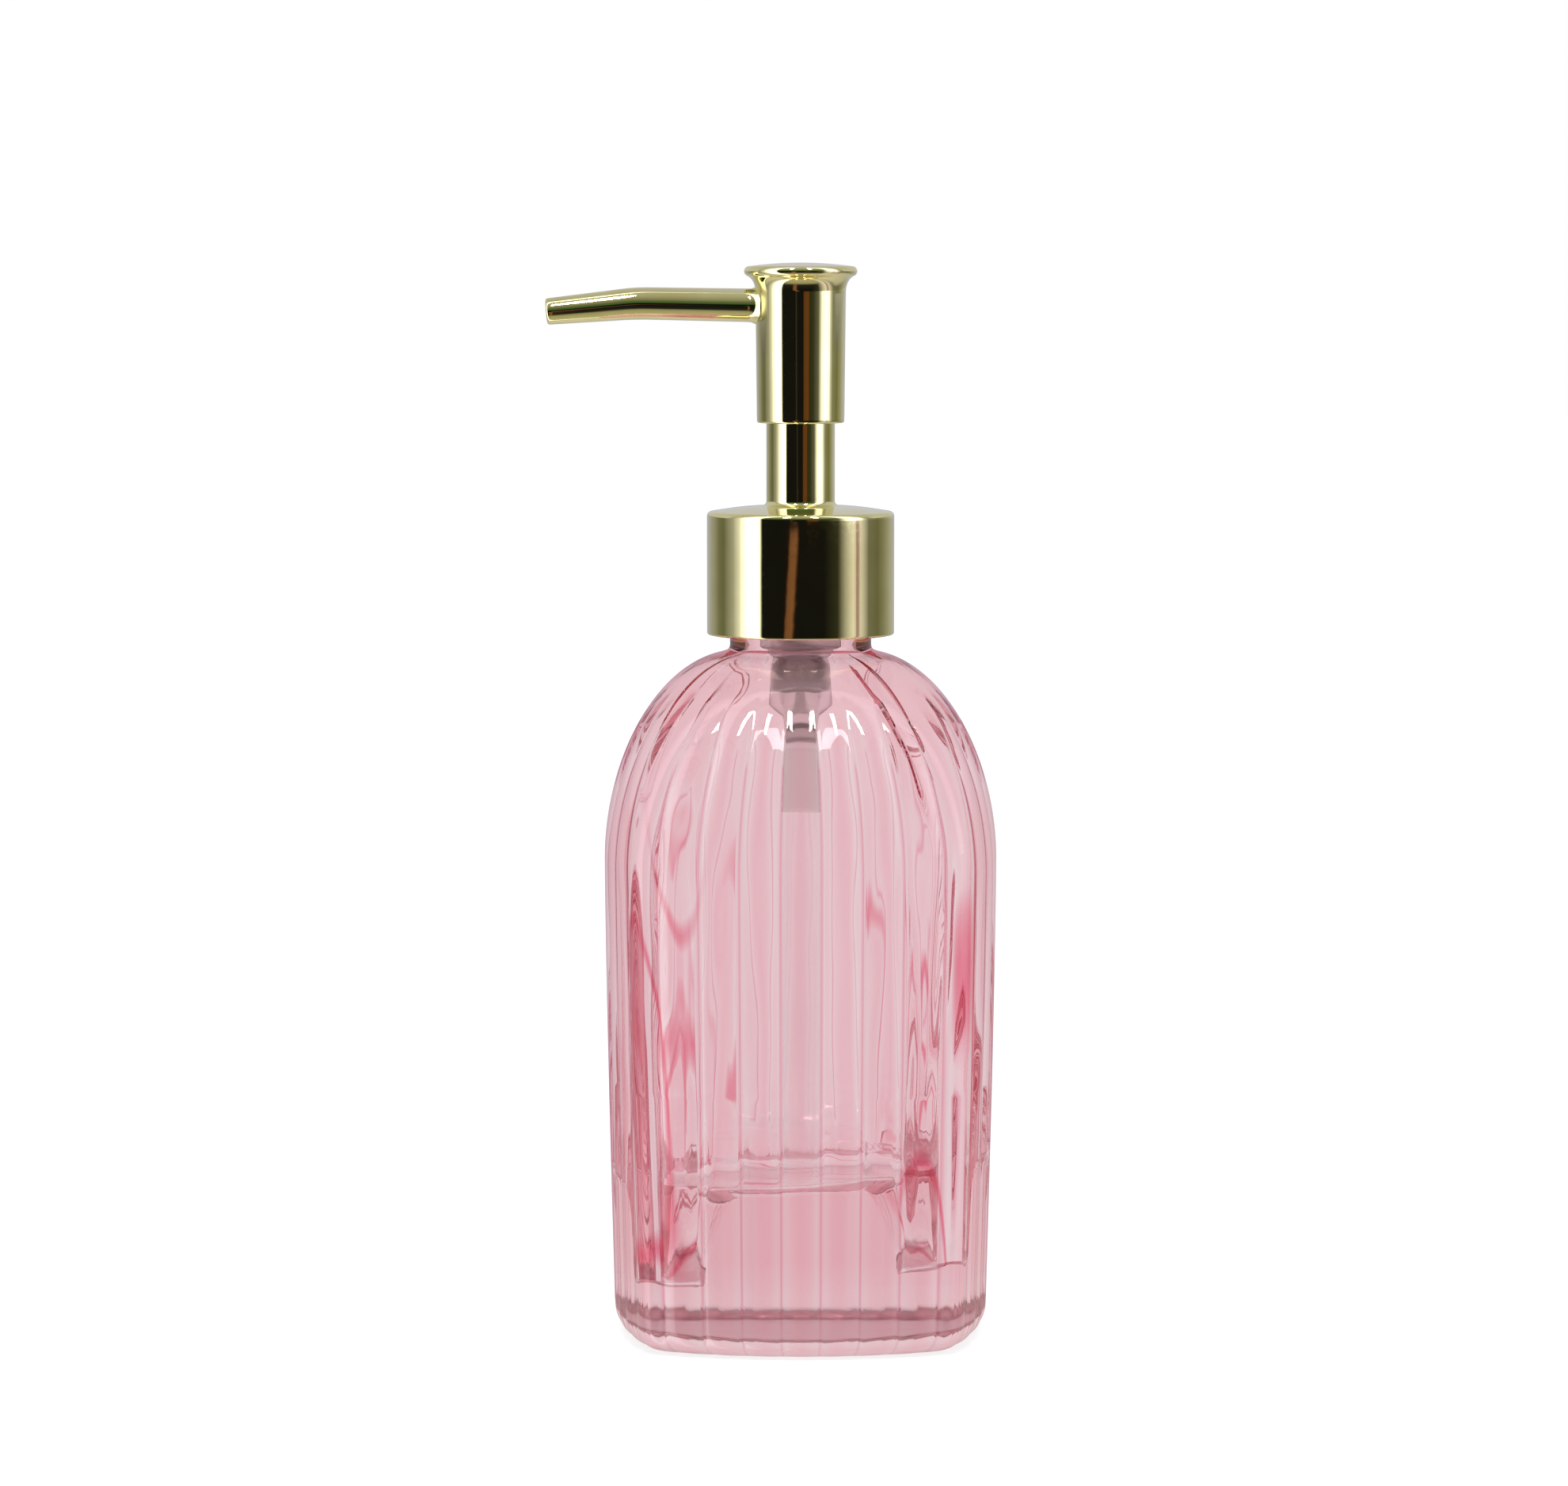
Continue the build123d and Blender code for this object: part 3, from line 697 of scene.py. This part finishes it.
def make_collar():
    """Collar with a rolled lower edge, a rounded shoulder, a low crown and the riser."""
    inner_r = COLLAR_R - COLLAR_WALL
    bottom = COLLAR_LOW.z
    ceiling = COLLAR_EDGE_Z - COLLAR_WALL
    crown_z = COLLAR_EDGE_Z + COLLAR_CROWN
    hem = (inner_r + COLLAR_HEM_R, bottom + COLLAR_HEM_R)
    profile = arc(hem, COLLAR_HEM_R, 180, 360, 8)
    profile += [(COLLAR_R, bottom + 6), (COLLAR_R, bottom + 14)]
    edge = (COLLAR_R - COLLAR_ROUND, COLLAR_EDGE_Z - COLLAR_ROUND)
    profile += arc(edge, COLLAR_ROUND, 0, 84, 8)
    top_steps = 9
    top_end_r = RISER_R + 0.9
    for i in range(1, top_steps):
        share = i / top_steps
        rise = (COLLAR_CROWN - 0.15) * math.sin(share * math.pi / 2)
        profile.append((edge[0] + (top_end_r - edge[0]) * share, COLLAR_EDGE_Z + rise))
    profile += arc((RISER_R + RISER_FILLET, crown_z + RISER_FILLET), RISER_FILLET, 262, 180, 8)
    profile += [(RISER_R, crown_z + 4), (RISER_R, COLLAR_HIGH.z - 3)]
    half_wall = RISER_WALL / 2
    profile += arc((RISER_R - half_wall, COLLAR_HIGH.z - half_wall), half_wall, 0, 180, 8)
    profile += [(RISER_R - RISER_WALL, ceiling), (inner_r, ceiling)]
    collar = turned("gold_collar", profile, 256, 40)
    dress(collar, GOLD, "closure", "gold", "collar_shell")


HEAD_BOTTOM_R = 7.9
HEAD_TOP_R = 8.15
HEAD_WALL = 0.8
FLARE_Z = 188.2
LIP_Z = 192.1
LIP_R = HEAD_HIGH.x
LIP_ROUND = 0.92
HEAD_CEILING_Z = 190.1


def bezier(spots, t):
    """Place on a cubic curve through the first and last of four spots."""
    a, b, c, d = spots
    return a * (1 - t) ** 3 + b * 3 * t * (1 - t) ** 2 + c * 3 * t * t * (1 - t) + d * t**3


def make_head():
    """Head: tapered skirt, trumpet flare, rolled lip and a slightly domed top."""
    hem_r = HEAD_WALL / 2
    bottom = HEAD_LOW.z
    profile = arc((HEAD_BOTTOM_R - hem_r, bottom + hem_r), hem_r, 180, 360, 8)
    for share in (0.2, 0.4, 0.6, 0.8, 1.0):
        z = bottom + HEAD_WALL + (FLARE_Z - bottom - HEAD_WALL) * share
        profile.append((HEAD_BOTTOM_R + (HEAD_TOP_R - HEAD_BOTTOM_R) * share, z))

    lip = Vector((LIP_R - LIP_ROUND, LIP_Z + 0.05))
    under_lip = math.radians(-72)
    flare_end = lip + LIP_ROUND * Vector((math.cos(under_lip), math.sin(under_lip)))
    spots = (
        Vector((HEAD_TOP_R, FLARE_Z)),
        Vector((HEAD_TOP_R, FLARE_Z + 1.7)),
        Vector((HEAD_TOP_R + 0.55, flare_end.y - 0.5)),
        flare_end,
    )
    flare_steps = 11
    profile += [tuple(bezier(spots, i / flare_steps)) for i in range(1, flare_steps)]
    profile += arc(lip, LIP_ROUND, -66, 88, 14)

    top_steps = 12
    hub = 0.02                  # radius left at the axis, so that no ring collapses
    rise = HEAD_HIGH.z - lip.y - LIP_ROUND
    edge = LIP_R - LIP_ROUND
    for i in range(1, top_steps + 1):
        r = edge * (1 - i / top_steps) + hub
        profile.append((r, HEAD_HIGH.z - rise * (r / edge) ** 2))
    profile += [(hub, HEAD_CEILING_Z), (HEAD_TOP_R - HEAD_WALL, HEAD_CEILING_Z)]
    profile.append((HEAD_BOTTOM_R - HEAD_WALL, bottom + HEAD_WALL))
    head = turned("gold_head", profile, 256, 40)
    dress(head, GOLD, "actuator", "gold", "head_shell")


SPOUT_Z = 186.0
SPOUT_KINK = Vector((-29.6, 0, 186.4))
SPOUT_TIP = Vector((-45.8, 0, 184.9))
SPOUT_ROOT = Vector((-7.3, 0, SPOUT_Z))
SPOUT_ROOT_R = 3.03
SPOUT_KINK_R = 2.9
SPOUT_TIP_R = 2.375
SPOUT_BORE_R = 1.9
SPOUT_BEND = 2.4            # half length of the soft bend
SPOUT_BOSS = 0.75           # swelling at the root
SPOUT_MOUTH_R = 0.45


def spout_line(share):
    """Centre, direction and outer radius along the spout, with a soft bend at the kink."""
    first = (SPOUT_KINK - SPOUT_ROOT).length
    second = (SPOUT_TIP - SPOUT_KINK).length
    along = share * (first + second)
    before = (SPOUT_KINK - SPOUT_ROOT).normalized()
    after = (SPOUT_TIP - SPOUT_KINK).normalized()
    turn = clamp((along - first + SPOUT_BEND) / (2 * SPOUT_BEND))
    direction = before * (1 - turn) + after * turn
    if along < first - SPOUT_BEND:
        centre = SPOUT_ROOT + before * along
    elif along > first + SPOUT_BEND:
        centre = SPOUT_KINK + after * (along - first)
    else:
        a, c = SPOUT_KINK - before * SPOUT_BEND, SPOUT_KINK + after * SPOUT_BEND
        centre = a * (1 - turn) ** 2 + SPOUT_KINK * 2 * turn * (1 - turn) + c * turn**2
    if along < first:
        radius = SPOUT_ROOT_R + (SPOUT_KINK_R - SPOUT_ROOT_R) * along / first
    else:
        radius = SPOUT_KINK_R + (SPOUT_TIP_R - SPOUT_KINK_R) * (along - first) / second
    return centre, direction, radius


def make_spout():
    """Bent tapered tube with a rounded mouth and a small boss at its root."""
    stations = []
    outer_steps, mouth_steps, bore_steps = 48, 7, 32
    for i in range(outer_steps + 1):
        share = i / outer_steps * 0.988
        centre, direction, radius = spout_line(share)
        boss = SPOUT_BOSS * math.exp(-((share * 39 / 0.9) ** 2))
        stations.append((centre, direction, radius + boss))
    tip_centre, tip_along, tip_r = spout_line(1.0)
    tip_along = tip_along.normalized()
    for i in range(1, mouth_steps + 1):
        a = math.radians(90 * i / mouth_steps)
        back = SPOUT_MOUTH_R * (1 - math.sin(a))
        r = tip_r - 0.42 * (1 - math.cos(a))
        stations.append((tip_centre - tip_along * back, tip_along, r))
    for i in range(bore_steps + 1):
        share = 1 - i / bore_steps
        centre, direction, _ = spout_line(share)
        stations.append((centre, direction, SPOUT_BORE_R + 0.01 - 0.15 * share))
    spout = swept("gold_spout", stations, 96, 40)
    dress(spout, GOLD, "actuator", "gold", "spout")


make_collar()
make_head()
make_spout()

# ---------------------------------------------------------------- pump body

SPRING_LOW, SPRING_HIGH = box_mm("return_spring")
WIRE_R = 0.38
COIL_TURNS = 10
COIL_STEPS = 48             # a turn
CLOSED_RISE = 0.035         # share of the height that each closed end turn takes


def make_spring():
    """Coil of drawn wire with closed ends."""
    coil_r = SPRING_HIGH.x - WIRE_R
    low, high = SPRING_LOW.z + WIRE_R, SPRING_HIGH.z - WIRE_R
    centres = []
    for i in range(COIL_TURNS * COIL_STEPS + 1):
        turn = i / COIL_STEPS
        if turn < 1:
            rise = turn * CLOSED_RISE
        elif turn > COIL_TURNS - 1:
            rise = 1 - (COIL_TURNS - turn) * CLOSED_RISE
        else:
            rise = CLOSED_RISE + (turn - 1) / (COIL_TURNS - 2) * (1 - 2 * CLOSED_RISE)
        a = 2 * math.pi * turn
        z = low + (high - low) * rise
        centres.append(Vector((coil_r * math.cos(a), coil_r * math.sin(a), z)))
    rows = []
    wire_sides = 12
    for i, centre in enumerate(centres):
        ahead = centres[min(i + 1, len(centres) - 1)] - centres[max(i - 1, 0)]
        out = Vector((centre.x, centre.y, 0)).normalized()
        up = ahead.normalized().cross(out)
        ring = []
        for k in range(wire_sides):
            a = 2 * math.pi * k / wire_sides
            ring.append(tuple(centre + WIRE_R * (math.cos(a) * out + math.sin(a) * up)))
        rows.append(ring)
    verts, faces = grid(rows)
    spring = add_mesh("spring_coil", verts, faces, 50)
    dress(spring, WIRE, "pump", "spring_steel", "return_spring")
    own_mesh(spring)


make_spring()
redress("pump_housing", HOUSING)
redress("neck_gasket", FOAM)
redress("dip_tube", TUBE)
redress("inlet_ball", BALL)
redress("piston", PISTON)
for name in ("lock_ring", "ball_cage", "screw_closure"):
    redress(name, INNER)
for name in ("valve_rod", "stem", "head_core", "spout_liner"):
    redress(name, INNER)
for name in ("pump_housing", "dip_tube", "lock_ring", "stem"):
    smooth_by_angle(nodes[name], 30)

# ---------------------------------------------------------------- studio


WALLS_R = 0.6               # metres
BACKDROP_R = 0.7
STAGE_HEIGHT = 0.16         # middle of both spheres
HEAD_SPLIT = (-0.0378, -0.0370)     # heights from that middle where the collar's top ends


def make_floor():
    """Wide pale floor that carries on to the horizon."""
    bpy.ops.mesh.primitive_plane_add(size=12)
    floor = bpy.context.object
    floor.name = "floor"
    material, tree, out = new_material("floor_paper")
    looks = {
        "Base Color": ramp(tree, object_noise(tree, 6), [(0.3, grey(0.26)), (0.7, grey(0.28))]),
        "Roughness": 0.9,
        "Specular IOR Level": 0.1,
        "Emission Color": (1, 1, 1, 1),
        "Emission Strength": 0.78,
    }
    shade(tree, out, "BsdfPrincipled", looks)
    floor.data.materials.append(material)
    floor.visible_glossy = False
    floor.visible_transmission = False


def stage_sphere(name, radius, material, *seen_by):
    """Sphere round the whole stage that only the named kinds of ray see."""
    place = (0, 0, STAGE_HEIGHT)
    bpy.ops.mesh.primitive_uv_sphere_add(segments=64, ring_count=32, radius=radius, location=place)
    sphere = bpy.context.object
    sphere.name = name
    material.cycles.emission_sampling = "NONE"
    sphere.data.materials.append(material)
    for kind in ("camera", "diffuse", "glossy", "transmission", "volume_scatter", "shadow"):
        setattr(sphere, "visible_" + kind, kind in seen_by)


def colour_stops(*pairs):
    """Ramp stops from (degrees from the front, colour or grey level)."""
    stops = []
    for degrees, colour in pairs:
        colour = colour if isinstance(colour, tuple) else grey(colour)
        stops.append(((degrees + 180) / 360, colour))
    return stops


DARK = (0, 0, 0, 1)
LEFT_SIDE = (
    (-180, (0.56, 0.57, 0.66)),
    (-150, (0.43, 0.45, 0.50)),
    (-130, (0.31, 0.31, 0.27)),
    (-118, (0.18, 0.185, 0.12)),
    (-108, (0.15, 0.155, 0.10)),
    (-90, (0.42, 0.42, 0.40)),
    (-80, (0.9, 0.9, 0.95)),
    (-73, 1.9),
    (-62, 2.8),
    (-52, 2.2),
    (-49.5, 0.8),
    (-48, 0.008),
    (28, 0.008),
)
BESIDE_COLLAR = colour_stops(
    *LEFT_SIDE,
    (46, (0.035, 0.035, 0.02)),
    (50, (0.17, 0.165, 0.14)),
    (60, (0.60, 0.58, 0.56)),
    (67, (0.88, 0.84, 0.86)),
    (70, (0.80, 0.72, 0.76)),
    (71.5, (0.42, 0.28, 0.31)),
    (75, (0.44, 0.32, 0.35)),
    (77, (0.80, 0.74, 0.80)),
    (82, (0.62, 0.60, 0.62)),
    (91, (0.19, 0.19, 0.15)),
    (108, (0.15, 0.15, 0.09)),
    (122, (0.25, 0.25, 0.18)),
    (140, (0.41, 0.41, 0.37)),
    (180, (0.56, 0.57, 0.66)),
)
BESIDE_HEAD = colour_stops(
    *LEFT_SIDE,
    (37, (0.07, 0.075, 0.05)),
    (47, (0.15, 0.15, 0.12)),
    (52, (0.75, 0.75, 0.80)),
    (58, 1.7),
    (66, 2.4),
    (77, 1.9),
    (82, (0.8, 0.8, 0.9)),
    (90, (0.26, 0.27, 0.20)),
    (108, (0.19, 0.19, 0.09)),
    (125, (0.35, 0.35, 0.26)),
    (140, (0.48, 0.49, 0.55)),
    (180, (0.56, 0.57, 0.66)),
)
LOW_STREAK = colour_stops(
    (-24, 0.0),
    (-21, (0.02, 0.008, 0.004)),
    (-19, (0.20, 0.085, 0.045)),
    (-12, (0.24, 0.105, 0.055)),
    (-9, (0.02, 0.008, 0.004)),
    (-6, 0.0),
)
HIGH_STREAK = colour_stops(
    (-14, 0.0),
    (-11, (0.05, 0.04, 0.035)),
    (-8, 0.0),
    (6, 0.0),
    (9, (0.13, 0.05, 0.015)),
    (20, (0.14, 0.055, 0.015)),
    (23, (0.03, 0.03, 0.012)),
    (30, (0.04, 0.04, 0.018)),
)
FRONT_BY_HEIGHT = [
    (0.0, (0.50, 0.48, 0.34)),
    (0.16, (0.36, 0.35, 0.22)),
    (0.24, grey(0.02)),
    (0.54, grey(0.0)),
    (0.60, (0.06, 0.16, 0.05)),
    (0.66, (0.10, 0.13, 0.06)),
    (0.80, (0.30, 0.30, 0.22)),
    (1.0, (0.50, 0.50, 0.42)),
]
BACK_BY_HEIGHT = [
    (0.0, (0.75, 0.72, 0.66)),
    (0.30, (0.50, 0.48, 0.42)),
    (0.44, grey(0.0)),
    (0.49, grey(0.0)),
    (0.53, (0.60, 0.61, 0.62)),
    (0.70, (0.62, 0.62, 0.60)),
    (1.0, (0.50, 0.50, 0.42)),
]


def make_surround():
    """Studio walls that only mirror finishes see: dark in front, soft boxes to either side."""
    material, tree, out = new_material("studio_walls")
    place = node(tree, "TexCoord").outputs["Object"]
    split = node(tree, "SeparateXYZ", {"Vector": place}).outputs
    around = maths(tree, "ARCTAN2", split["X"], maths(tree, "MULTIPLY", split["Y"], -1.0))
    share = span(tree, around, -math.pi, math.pi)
    at_head = span(tree, split["Z"], *HEAD_SPLIT)
    bands = mix(tree, at_head, ramp(tree, share, BESIDE_COLLAR), ramp(tree, share, BESIDE_HEAD))

    leaning = maths(tree, "SUBTRACT", share, span(tree, split["Z"], -0.074, -0.045, 7 / 360))
    low_end = span(tree, split["Z"], -0.0425, -0.0415)
    low_streak = mix(tree, low_end, ramp(tree, leaning, LOW_STREAK), DARK)
    streak = mix(tree, at_head, low_streak, ramp(tree, share, HIGH_STREAK))
    streak = mix(tree, span(tree, split["Z"], 0.06, 0.03), DARK, streak)

    height = span(tree, split["Z"], -WALLS_R, WALLS_R)
    by_height = mix(
        tree,
        span(tree, split["Y"], -0.12, 0.12),
        ramp(tree, height, FRONT_BY_HEIGHT),
        ramp(tree, height, BACK_BY_HEIGHT),
    )
    total = mix(tree, 1.0, mix(tree, 1.0, bands, streak, "LIGHTEN"), by_height, "LIGHTEN")
    shade(tree, out, "Emission", {"Color": total, "Strength": 1.0})
    stage_sphere("studio_walls", WALLS_R, material, "glossy")


def make_backdrop():
    """Pale grey paper all round that only shows through the glass."""
    material, tree, out = new_material("backdrop_paper")
    tone = ramp(tree, object_noise(tree, 5), [(0.3, grey(0.87)), (0.7, grey(0.90))])
    shade(tree, out, "Emission", {"Color": tone, "Strength": 1.0})
    stage_sphere("backdrop", BACKDROP_R, material, "transmission")


def make_world():
    """Even white light from all round."""
    world = bpy.data.worlds.new("studio")
    scene.world = world
    world.use_nodes = True
    background = world.node_tree.nodes["Background"].inputs
    background["Color"].default_value = (1, 1, 1, 1)
    background["Strength"].default_value = 1.0


def make_light(name, place, aim, width, height, power):
    """Soft box that points at a place on the object, in metres and watts."""
    data = bpy.data.lights.new(name, "AREA")
    data.shape = "RECTANGLE"
    data.size = width
    data.size_y = height
    data.energy = power
    light = bpy.data.objects.new(name, data)
    scene.collection.objects.link(light)
    light.location = place
    light.rotation_euler = (Vector(aim) - Vector(place)).to_track_quat("-Z", "Y").to_euler()


CAMERA_PLACE = (-3.0, -950.0, 192.2)
CAMERA_DIP = 5.13           # degrees below the level
CAMERA_LENS = 120.7         # millimetres, for a sensor 36 wide


def make_camera():
    """Long lens, about a metre away, as high as the head and looking slightly down."""
    data = bpy.data.cameras.new("camera")
    camera = bpy.data.objects.new("camera", data)
    scene.collection.objects.link(camera)
    camera.location = [c * MM for c in CAMERA_PLACE]
    camera.rotation_euler = (math.radians(90 - CAMERA_DIP), 0, 0)
    data.sensor_width = 36
    data.lens = CAMERA_LENS
    data.clip_start = 0.01
    data.clip_end = 50
    scene.camera = camera


make_floor()
make_surround()
make_backdrop()
make_world()
make_light("soft_top", (0.0, -0.1, 1.4), (0, 0, 0.1), 1.2, 1.2, 5)
for name, x in (("strip_left", -0.10), ("strip_right", 0.10)):
    make_light(name, (x, -0.23, 0.51), (0, -0.025, 0.112), 0.035, 0.11, 0.55)
scene.cycles.max_bounces = 24
scene.cycles.transmission_bounces = 24
scene.cycles.glossy_bounces = 16
make_camera()
scene.view_settings.view_transform = "Standard"
